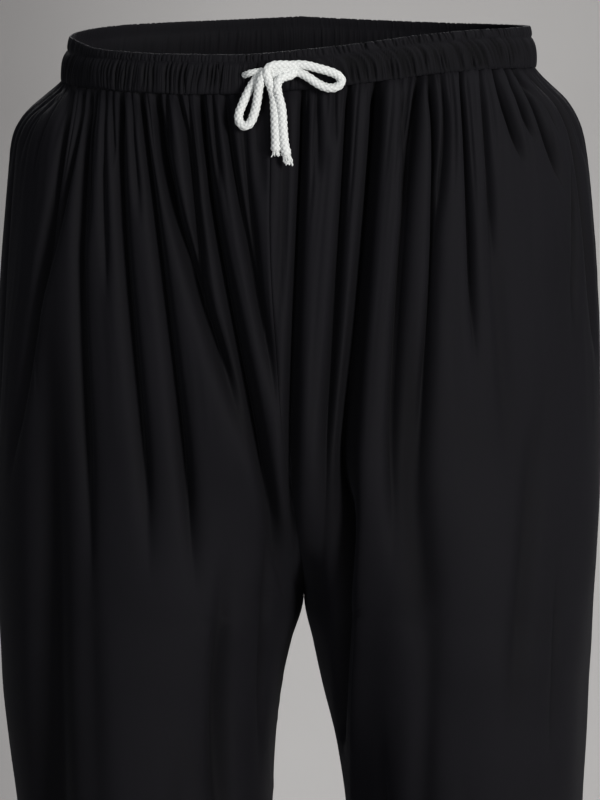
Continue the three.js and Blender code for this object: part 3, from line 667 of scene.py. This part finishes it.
# Section of the band, up its outer face from the foot, over the header and down inside: out is from the
# plan outwards, and gather how much of the gathers' depth it has.
BAND_SECTION = table("drop out gather", [
    (30.3, -1.3, 0.1), (29.9, -0.1, 0.3), (29, 0.7, 0.7), (27.6, 1.3, 1.1),
    (25.6, 1.8, 1.4), (23, 2.2, 1.7), (20, 2.4, 1.9), (17, 2.4, 1.9),
    (14, 2.2, 1.8), (11.6, 1.8, 1.5), (9.8, 1.2, 1.2), (8.6, 0.6, 0.8),
    (7.9, 0, 0.35), (7.3, 0, 0.3), (6.6, 0.5, 0.6), (5.4, 0.9, 0.9),
    (3.8, 1.1, 1.1), (2.2, 1.1, 1.2), (0.9, 1, 1.2), (0.1, 0.6, 1.1),
    (-0.2, 0, 1), (0.2, -0.6, 0.9), (1.6, -0.9, 0.6), (4.6, -1, 0.5),
    (7, -0.9, 0.4), (8.4, -1.4, 0.7), (11, -2.3, 1.1), (15, -2.9, 1.3),
    (20, -3, 1.3), (25, -2.6, 1.2), (28.6, -2, 0.8),
])
# Pitch of the gathers along the band, by the distance from the centre front towards the wearer's left.
BAND_PITCH = table("arc casing header fine", [
    (-474, 4.6, 2.4, 2), (-237, 6, 2.4, 2.4), (-190, 5, 2.3, 2.2),
    (-150, 3.5, 2.1, 1.7), (-60, 3.2, 2.2, 1.6), (0, 3.5, 2.3, 1.8),
    (40, 3.9, 2.4, 1.9), (120, 4.2, 2.5, 2), (170, 4.3, 2.4, 2.1),
    (205, 7, 2.4, 2.6), (237, 6.5, 2.4, 2.6), (474, 4.6, 2.4, 2),
])
HEADER_RISE = table("arc taller", [
    (-474, 0.5), (-237, 3), (-195, 3.4), (-168, 1.8), (-145, -0.8),
    (-110, -1.5), (0, -1.2), (150, -0.8), (237, 0.8), (474, 0.5),
])


def gathers(arc, down, pitch, seed, widest):
    """Depth from 0 to about 1 of uneven gathers along the band: seeded valleys about a pitch apart, which
    wander a little as they go down, and of which some fade out over the upper or lower part. Only the
    nearest four count at a point."""
    fine = np.linspace(-BAND_RUN, BAND_RUN, 6000)
    count = np.cumsum(1 / np.interp(fine, BAND_PITCH["arc"], BAND_PITCH[pitch])) * (fine[1] - fine[0])
    total = int(count[-1])
    draw = np.random.default_rng(seed)
    jitter = draw.uniform(-0.36, 0.36, total)
    place = np.interp(np.arange(total) + 0.5 + jitter, count * total / count[-1], fine)
    deep = draw.uniform(0.12, 1, total) ** 1.2
    width = draw.uniform(0.13, 0.3, total) * np.gradient(place).clip(0, widest)
    wander, start = draw.normal(0, 0.5, total), draw.uniform(0, 2 * np.pi, total)
    upper, lower = draw.uniform(-0.4, 1, (2, total)).clip(0, 1)
    nearest = np.searchsorted(place, arc)
    depth = 0
    for k in (-2, -1, 0, 1):
        i = (nearest + k) % total
        sway = np.sin(3.2 * down + start[i]) + 0.3 * np.sin(10 * down + 2 * start[i])
        off = arc - place[i] - wander[i] * sway
        off = (off + BAND_RUN) % (2 * BAND_RUN) - BAND_RUN
        fade = 1 - upper[i] * (1 - smooth(0.1, 0.55, down)) * LOST
        fade = fade - lower[i] * smooth(0.45, 0.95, down) * LOST
        depth = depth + deep[i] * fade.clip(0.1, 1) * bell(off, width[i], 1.2)
    return depth


def waistband():
    """The band as a closed ring: each row of the section follows the plan at its drop, moved outwards by
    the section and inwards by the valleys of the gathers."""
    share = np.linspace(0, 1, BAND_COLUMNS // 2 + 1)[None, :]
    level, section_out, depth = (BAND_SECTION[name][:, None] for name in ("drop", "out", "gather"))
    rows = len(level)
    arc = np.concatenate([share[0] * BAND_RUN, -share[0, -2:0:-1] * BAND_RUN])[None, :]
    header = 1 - smooth(STITCH_DROP - 1.2, STITCH_DROP, level)
    taller = curve(*HEADER_RISE.values())(arc)
    drop = level - header * taller * (1 - level / STITCH_DROP)
    halves = [Run(side, BAND_SECTION["drop"]).at(np.repeat(share, rows, axis=0)) for side in (1, -1)]
    x, y, out_x, out_y = (
        np.concatenate([left, right[:, -2:0:-1]], axis=1) for left, right in zip(*halves)
    )
    twisted = smooth(5, 40, arc) * (1 - 0.6 * smooth(155, 190, arc)) * (1 - smooth(200, 230, arc))
    lean = TWIST_REACH * (1 - np.exp(-np.maximum(drop - STITCH_DROP, 0) / TWIST_DEPTH)) + 0.12 * drop
    wander = 0.5 * np.sin(arc / 23 + drop / 9) + 0.35 * np.sin(arc / 9.1 - drop / 5)
    casing_place = arc - twisted * lean + wander
    plain = 0.5 * smooth(185, 200, np.abs(arc)) * (1 - smooth(240, 250, np.abs(arc)))
    down = level / BAND_HEIGHT
    casing = gathers(casing_place, down, "casing", 21, 6.5)
    casing = casing + 0.45 * gathers(casing_place, down, "fine", 5, 3)
    ruffle = 0.85 * gathers(arc - 0.3 * twisted * drop + 0.4 * wander, down * 3, "header", 8, 2.4)
    valleys = mix((1 - plain) * casing, ruffle, header)
    outer = section_out >= -0.5
    bold = FAINTEST + (BOLDEST - FAINTEST) * smooth(20, 60, arc) * (1 - smooth(200, 228, arc))
    valley = DEEPEST * np.tanh(bold * depth * valleys / DEEPEST)
    broad = 0.5 * np.sin(arc / 31 + 1) + 0.35 * np.sin(arc / 13.7) + 0.25 * np.sin(arc / 5.9 + drop / 6)
    cut = np.where(outer, valley, INSIDE * valley)
    out = section_out - cut + 0.5 * broad
    top, foot = 1 - smooth(0, 3, level), smooth(24, 29, level)
    ragged = 2 * valleys + 0.55 * np.sin(arc / 23 + 1) + 0.5 * np.sin(arc / 8.1)
    scallop = 1.2 * header * top * valleys - ragged * foot * outer
    points = together(x + out_x * out, y + out_y * out, height_at(x, y, drop + scallop))
    uv = together(arc, np.arange(rows)[:, None] * SECTION_STEP)
    quads = grid(points, close_rows=True, close_columns=True)
    # The relief, how deep each gather cuts in, is painted as shade into the band's colour.
    part = (points, quads[:, ::-1], uv, cut / DEEPEST)
    return piece("waistband_gathers", [part], "band", ["waistband"])


# ---- Tubes and the drawstring ----
def spline(points, step):
    """A Catmull-Rom curve through points, resampled at an even step."""
    given = np.array(points, float)
    ends = np.vstack([2 * given[0] - given[1], given, 2 * given[-1] - given[-2]])
    t = np.linspace(0, 1, 24, endpoint=False)[None, :, None]
    a, b, c, d = (ends[k : k + len(given) - 1][:, None, :] for k in range(4))
    run = 0.5 * (2 * b + (c - a) * t + (2 * a - 5 * b + 4 * c - d) * t**2 + (3 * b - a - 3 * c + d) * t**3)
    line = np.vstack([run.reshape(-1, 3), given[-1:]])
    length = np.concatenate([[0], np.cumsum(np.linalg.norm(np.diff(line, axis=0), axis=1))])
    at = np.linspace(0, length[-1], max(int(round(length[-1] / step)), 4) + 1)
    return np.stack([np.interp(at, length, line[:, k]) for k in range(3)], axis=-1), at


def frames(line):
    """Directions across a line and up from it."""
    tangent = np.gradient(line, axis=0)
    tangent /= np.linalg.norm(tangent, axis=1)[:, None]
    across = np.cross(tangent, np.array([0.05, -1, 0.03]))
    across /= np.linalg.norm(across, axis=1)[:, None]
    return across, np.cross(tangent, across)


def tube(points, radius, step, around, relief=None, blunt=(False, False)):
    """A closed tube along points: rings of radius plus relief(angle, length), with a rounded cap of
    shrinking rings at each end that isn't blunt. Its last value is the relief as a share from 0 to 1,
    which the cord's material paints as shade between the yarns."""
    line, at = spline(points, step)
    across, up = frames(line)
    angle = np.linspace(0, 2 * np.pi, around, endpoint=False)[None, :]
    size = np.broadcast_to(radius(at / at[-1]) if callable(radius) else radius, at.shape)[:, None]
    raised = relief(angle, at[:, None]) if relief else 0 * at[:, None]
    far = at[-1]
    end = np.minimum(at + far * blunt[0], far - at + far * blunt[1])[:, None]
    round_end = np.sqrt(np.clip(1 - (1 - np.minimum(end / (0.8 * size) + 0.02, 1)) ** 2, 0, 1))
    # painted shade: a share that is lower where the braid dips between yarns, for the cord's colour
    shade = np.clip(raised / BRAID_RELIEF + 0.6, 0, 1) + 0 * angle
    size = (size + raised) * round_end
    ring = np.cos(angle)[..., None] * across[:, None] + np.sin(angle)[..., None] * up[:, None]
    rings = line[:, None] + size[..., None] * ring
    uv = together(angle * CORD_DIAMETER / 2, at[:, None])
    tips = [np.repeat(rings[[k]].mean(axis=1, keepdims=True), around, axis=1) for k in (0, -1)]
    rings = np.concatenate([tips[0], rings, tips[1]])
    uv, shade = (np.concatenate([rows[:1], rows, rows[-1:]]) for rows in (uv, shade))
    return (rings, grid(rings, close_columns=True), uv, shade), line


BRAID_CELLS = 5  # yarns that run each way round the drawstring
BRAID_PITCH = 4.2  # length of one cell of the braid
BRAID_RELIEF = 0.7


def braid(angle, along):
    """Relief of a round braid. Two sets of yarns wind opposite ways and pass over each other by turns:
    in each diamond cell the upper yarn is round across its run and dips under at both ends of it."""
    along = along + 0.25 * np.sin(along / 5.3 + 2 * np.sin(angle))
    a = BRAID_CELLS * angle / (2 * np.pi) + along / BRAID_PITCH
    b = BRAID_CELLS * angle / (2 * np.pi) - along / BRAID_PITCH
    over = (np.floor(a) + np.floor(b)) % 2 < 1
    across = np.where(over, b, a) % 1
    lengthwise = np.where(over, a, b) % 1
    bulge = np.sqrt(np.clip(1 - (2 * across - 1) ** 2, 0, 1)) ** 0.8
    return BRAID_RELIEF * (bulge * np.sin(np.pi * lengthwise) ** 0.5 - 0.6)


CORD_RADIUS = CORD_DIAMETER / 2 - 0.4
LEAD_RADIUS = 2.2  # where the casing's hole still presses the cord
CORD_STEP, CORD_AROUND = 0.42, 56
LOOP_RIGHT = [
    (-24.6, -134.6, -14.9), (-28.9, -135.2, -18.1), (-33.2, -136, -23.2), (-37.3, -137, -30.1),
    (-41.1, -138.6, -38.2), (-44, -140.6, -46.1), (-43.6, -142.4, -51.8), (-40, -143.4, -54.7),
    (-35.7, -143.6, -52.2), (-32.8, -143, -45.3), (-31, -142, -37.5), (-29.8, -141.6, -28.9),
    (-28.2, -141, -21.7), (-25.6, -139.6, -16.7), (-22, -137, -13.8),
]
LOOP_LEFT = [
    (-17.3, -134.5, -13.5), (-9.4, -135, -11.7), (-2.2, -135.3, -10.8), (5.1, -135.4, -11.3),
    (13, -135.3, -13.3), (20.2, -135.2, -15.3), (26, -135.2, -17.6), (29.6, -135.3, -21),
    (29.1, -135.5, -24.6), (24.9, -135.8, -27.2), (18.8, -136, -27), (12.3, -136.2, -24),
    (6.5, -136.2, -20.1), (1.1, -135.8, -17.1), (-5.1, -135.4, -15.6), (-11.6, -134.6, -15.3),
]
TAIL_RIGHT = [
    (-19.3, -141, -31.7), (-18.6, -141.4, -35.3), (-18.1, -142.4, -41.8), (-17.8, -144, -48.9),
    (-17.6, -145.6, -56.1), (-17.4, -147, -63.2), (-17.3, -148, -68.9), (-17.3, -148.6, -73.6),
]
TAIL_LEFT = [
    (-15.8, -143.6, -31.7), (-14.9, -143.4, -35.3), (-13.5, -143.8, -41.7), (-12.8, -145, -48.9),
    (-12.4, -146.4, -56), (-11.8, -147.8, -63.2), (-10.8, -149, -70.3), (-9.2, -150.2, -76.8),
]
LEAD_RIGHT = [
    (-41, -128.6, -18.5), (-38.4, -132.6, -17.7), (-36.1, -134.8, -16.8), (-31, -135.8, -15.7),
    (-26, -136, -15),
]
# The strands that show on the knot, from where they leave its inside. The two wraps run on into the tails.
KNOT_STRANDS = {
    "wrap": [
        (0, -134.6, -11.7), (-6.5, -136.6, -11.2), (-13, -138.6, -10.9), (-19.1, -140, -11.4),
        (-23, -141, -13.6), (-24, -142, -17), (-22.7, -142.6, -21.7), (-20.8, -142, -26.7),
        (-19.3, -141, -31.7),
    ],
    "second_wrap": [
        (-3.2, -134.8, -12.8), (-4.1, -136.6, -16.3), (-7.6, -138.8, -18.6), (-12, -141, -19.8),
        (-15.6, -142.8, -22.6), (-16.4, -143.6, -27), (-15.8, -143.6, -31.7),
    ],
    "body": [
        (-28.2, -135.6, -19.6), (-24.5, -137.2, -16), (-18.8, -138, -14.7), (-12.3, -138, -15.2),
        (-6.5, -136.8, -15.7), (-1.4, -135, -17),
    ],
    "under": [
        (-26, -135.8, -21.7), (-21.6, -137.4, -19.2), (-16.6, -138.6, -18.1), (-10.8, -138.2, -17.8),
    ],
}


def cord_piece(name, points, node, radius=CORD_RADIUS, blunt=(False, False)):
    """A braided stretch of the drawstring and the line that it follows."""
    part, line = tube(points, radius, CORD_STEP, CORD_AROUND, braid, blunt)
    made = piece(name, [part], "cord", [node])
    weld(made)
    return made, line


def frayed_end(points, count, seed, reach, spread, thickness):
    """Loose yarns at a cut end: thin tubes that start inside the cord's end and fan out down it."""
    draw = np.random.default_rng(seed)
    start, before = np.array(points[-1]), np.array(points[-2])
    along = (start - before) / np.linalg.norm(start - before)
    parts = []
    for _ in range(count):
        angle, out = draw.uniform(0, 2 * np.pi), np.sqrt(draw.uniform(0, 1))
        across = np.array([np.cos(angle), 0.7 * np.sin(angle), 0]) * out
        far = draw.uniform(0.35, 1) * reach
        bend = draw.normal(0, 0.5, 3)
        path = [
            start - along * 2.5 + across * 2.2,
            start + along * far * 0.4 + across * 2.9,
            start + along * far + across * spread + bend,
        ]
        parts.append(tube(path, draw.uniform(*thickness), 0.5, 8)[0])
    return parts


def tail_radius(along):
    """A tail's radius by the share of its length: it swells a little where the braid opens at the cut."""
    return CORD_RADIUS * (1 + 0.08 * smooth(0, 0.2, along) + 0.1 * smooth(0.8, 0.97, along))


def drawstring():
    """The bow: a lead out of the casing, a knot, two loops and two cut tails."""
    strands = [
        tube(points, CORD_RADIUS, CORD_STEP, CORD_AROUND, braid, (False, "wrap" in name))[0]
        for name, points in KNOT_STRANDS.items()
    ]
    knot = piece("drawstring_knot_strands", strands, "cord", ["drawstring_knot"])
    weld(knot)
    lead, _ = cord_piece("drawstring_lead", LEAD_RIGHT, "drawstring_lead_right", LEAD_RADIUS)
    yarns = frayed_end(TAIL_LEFT, 30, 4, 6.5, 3.2, (0.45, 0.8))
    yarns += frayed_end(TAIL_RIGHT, 26, 9, 2.6, 3, (0.4, 0.7))
    frays = piece("drawstring_frays", yarns, "cord")
    for kind, whose, points, far_end, others in (
        ("loop", "right", LOOP_RIGHT, "knot", [knot, lead]),
        ("loop", "left", LOOP_LEFT, "knot", []),
        ("tail", "right", TAIL_RIGHT, "bare", [frays]),
        ("tail", "left", TAIL_LEFT, "bare", []),
    ):
        name, node = f"drawstring_{kind}_of_{whose}", f"drawstring_{kind}_{whose}"
        tail = kind == "tail"
        radius = tail_radius if tail else CORD_RADIUS
        made, line = cord_piece(name, points, node, radius, (tail, False))
        line[0] * MM
        line * MM


# ---- Materials ----
class Socket:
    """A shader value: arithmetic on it adds Math nodes."""

    def __init__(self, shader, link):
        self.shader, self.link = shader, link

    def maths(self, operation, a, b=None):
        inputs = {0: a} if b is None else {0: a, 1: b}
        return self.shader.node("ShaderNodeMath", {"operation": operation}, inputs)

    def __add__(self, other):
        return self.maths("ADD", self, other)

    def __sub__(self, other):
        return self.maths("SUBTRACT", self, other)

    def __rsub__(self, other):
        return self.maths("SUBTRACT", other, self)

    def __mul__(self, other):
        return self.maths("MULTIPLY", self, other)

    __radd__, __rmul__ = __add__, __mul__

    def sine(self):
        return self.maths("SINE", self)


class Shader:
    """A material's nodes, ending in one Principled BSDF."""

    def __init__(self, name, **constants):
        self.material = bpy.data.materials.new(name)
        self.material.use_nodes = True
        self.tree = self.material.node_tree
        self.tree.nodes.clear()
        self.surface = self.tree.nodes.new("ShaderNodeBsdfPrincipled")
        for key, value in constants.items():
            self.surface.inputs[key.replace("_", " ")].default_value = value
        end = self.tree.nodes.new("ShaderNodeOutputMaterial")
        self.tree.links.new(self.surface.outputs["BSDF"], end.inputs["Surface"])

    def put(self, socket, value):
        if isinstance(value, Socket):
            self.tree.links.new(value.link, socket)
        else:
            socket.default_value = value

    def node(self, kind, settings=None, inputs=None, output=0):
        """A node of a type, its settings, the values or links of its sockets, and one output."""
        made = self.tree.nodes.new(kind)
        for key, value in (settings or {}).items():
            setattr(made, key, value)
        for key, value in (inputs or {}).items():
            self.put(made.inputs[key], value)
        return Socket(self, made.outputs[output])

    def feed(self, socket, value):
        self.put(self.surface.inputs[socket], value)

    def parts(self, vector):
        return [self.node("ShaderNodeSeparateXYZ", None, {0: vector}, k) for k in range(3)]

    def noise(self, vector, scale, detail=2.0, roughness=0.5):
        inputs = {"Vector": vector, "Scale": scale, "Detail": detail, "Roughness": roughness}
        return self.node("ShaderNodeTexNoise", None, inputs)

    def blend(self, factor, a, b):
        """A colour between a and b."""
        return self.node("ShaderNodeMix", {"data_type": "RGBA"}, {0: factor, 6: (*a, 1), 7: (*b, 1)}, 2)

    def bump(self, height, strength, distance):
        inputs = {"Height": height, "Strength": strength, "Distance": distance}
        self.feed("Normal", self.node("ShaderNodeBump", None, inputs))

    def place(self, output="Object"):
        return self.node("ShaderNodeTexCoord", None, None, output)

    def relief(self):
        return self.node("ShaderNodeAttribute", {"attribute_name": "relief"}, None, "Fac")


THREAD = 0.00055  # m from one thread of the weave to the next


def woven_black(name, dark, light, shaded):
    """Soft black woven cloth: a plain weave of fine threads, fading and slubs in slow patches, a low
    bloom from its fibres, and painted shade that darkens its colour down in its folds by the share shaded."""
    shader = Shader(name, Sheen_Weight=0.02, Sheen_Roughness=0.5, Specular_IOR_Level=0.1)
    shader.surface.inputs["Sheen Tint"].default_value = (0.62, 0.63, 0.72, 1)
    across, along, _ = shader.parts(shader.place("UV"))
    warp = (across * (2 * np.pi / THREAD)).sine()
    weft = (along * (2 * np.pi / THREAD)).sine()
    over = (across * (np.pi / THREAD)).sine() * (along * (np.pi / THREAD)).sine()
    weave = over * 0.5 + warp * 0.25 + weft * 0.25
    place = shader.place()
    patches = shader.noise(place, 9, 3, 0.6)
    drawn_out = shader.node("ShaderNodeMapping", None, {"Vector": place, "Scale": (700, 700, 60)})
    slubs = shader.noise(drawn_out, 1, 2)
    flecks = shader.noise(place, 1100, 2, 0.7)
    hollow = shader.relief()
    # Painted shade: the relief attribute darkens the colour in the folds; patches, slubs, flecks and weave
    # are the cloth's own tone.
    fade = patches * 0.6 + slubs * 0.3 + flecks * 0.35 + weave * 0.06 - 0.1 - hollow * shaded
    shader.feed("Base Color", shader.blend(fade, dark, light))
    shader.feed("Roughness", patches * 0.12 + slubs * 0.08 + 0.66)
    grain = shader.noise(place, 1500, 2)
    shader.bump(weave * 0.6 + slubs * 0.5 + grain * 0.5, 0.35, 0.00025)
    return shader.material


def braided_white():
    """White cotton braid: fine fibres that run with the yarns, and painted shade that greys it down
    between them.
    """
    shader = Shader("braided_white", Sheen_Weight=0.2, Sheen_Roughness=0.5, Specular_IOR_Level=0.2)
    place = shader.place()
    relief = shader.relief()
    fibres = shader.noise(place, 2600, 3, 0.65)
    soil = shader.noise(place, 60, 2)
    # Painted shade: relief greys the colour down between the yarns; fibres and soil are the cord's own
    # tone.
    shade = relief * 0.7 + fibres * 0.4 + soil * 0.15 - 0.1
    shader.feed("Base Color", shader.blend(shade, (0.52, 0.53, 0.52), (0.77, 0.785, 0.765)))
    shader.feed("Roughness", fibres * 0.2 + 0.72)
    shader.bump(fibres, 0.5, 0.0002)
    return shader.material


MATERIALS = {
    "cloth": woven_black("black_cloth", (0.003, 0.0028, 0.0037), (0.0073, 0.0069, 0.0092), 0.5),
    "band": woven_black("black_band", (0.0022, 0.0021, 0.0027), (0.0079, 0.0075, 0.0098), 0.85),
    "cord": braided_white(),
}


# ---- Surroundings ----
CAMERA_AWAY = 2600  # mm in front of the origin
CAMERA_AIM = -268  # height at which the camera looks, where x and y are 0
FOCAL_PIXELS = 3398  # focal length over the size of a pixel of the 600 x 800 frame
FRAME_PIXELS = 800
SENSOR = 36


def aimed(name, data, place, aim):
    """A camera or lamp at a place, looking at another."""
    made = add(name, data)
    made.location = place
    made.rotation_euler = (Vector(aim) - Vector(place)).to_track_quat("-Z", "Y").to_euler()
    return made


def add_camera():
    data = bpy.data.cameras.new("camera")
    data.sensor_fit, data.sensor_height, data.sensor_width = "VERTICAL", SENSOR, SENSOR
    data.lens = FOCAL_PIXELS * SENSOR / FRAME_PIXELS
    data.clip_end = 50
    place, aim = (0, -CAMERA_AWAY * MM, 0), (0, 0, CAMERA_AIM * MM)
    bpy.context.scene.camera = aimed("camera", data, place, aim)


def area_light(name, place, aim, size, power, tint=(1, 1, 1)):
    data = bpy.data.lights.new(name, "AREA")
    data.shape, data.size, data.size_y = "RECTANGLE", *size
    data.energy, data.color = power, tint
    aimed(name, data, place, aim)


def studio():
    """A pale seamless floor that curves up into a narrower backdrop behind the garment."""
    floor, back, bend = -1.075, 2.2, 0.9
    turn = np.linspace(0, np.pi / 2, 16)
    y = np.concatenate([[-3.2, 0], back - bend + bend * np.sin(turn), [back]])
    z = np.concatenate([[floor, floor], floor + bend - bend * np.cos(turn), [3.2]])
    x = np.linspace(-4, 4, 9)
    narrower = mix(1, 0.36, smooth(floor + 0.05, floor + 0.5, z))[:, None]
    points = together(x[None, :] * narrower, y[:, None], z[:, None])
    shader = Shader("paper", Roughness=0.85, Specular_IOR_Level=0.2)
    place = shader.place()
    grain = shader.noise(place, 3, 2)
    settings = {"interpolation_type": "SMOOTHSTEP"}
    # Painted shadow: the paper's colour is darker towards the left (-X).
    shadow = shader.node("ShaderNodeMapRange", settings, {0: shader.parts(place)[0], 1: -0.5, 2: 0})
    tone = shadow * 0.85 + grain * 0.3 - 0.15
    shader.feed("Base Color", shader.blend(tone, (0.27, 0.262, 0.258), (0.43, 0.42, 0.413)))
    add("floor", surface("floor", points, grid(points)[:, ::-1], shader.material))


def lights():
    area_light("key", (2.15, -2.95, 0.5), (0, 0, -0.35), (0.8, 1.4), 116, (1, 0.985, 0.97))
    area_light("fill", (-1.1, -3.3, 0.1), (0, 0, -0.4), (0.7, 1.4), 26, (0.94, 0.97, 1))
    area_light("backdrop", (1, 0.2, 2.2), (0.9, 2.2, -0.4), (2.4, 0.8), 34)
    area_light("behind", (0, 1.8, 0.75), (0, 0, -0.5), (1.2, 0.6), 26)
    world = bpy.data.worlds.new("studio")
    world.use_nodes = True
    sky = world.node_tree.nodes["Background"].inputs
    sky["Color"].default_value, sky["Strength"].default_value = (0.9, 0.93, 1, 1), 0.1
    bpy.context.scene.world = world


# ---- Making ----
add_camera()
drawstring()
band = waistband()
allowances = seam_allowances()
panels = [panel(facing, side) for facing in ("front", "back") for side in (-1, 1)]
studio()
lights()
bpy.context.scene.view_settings.view_transform = "Standard"
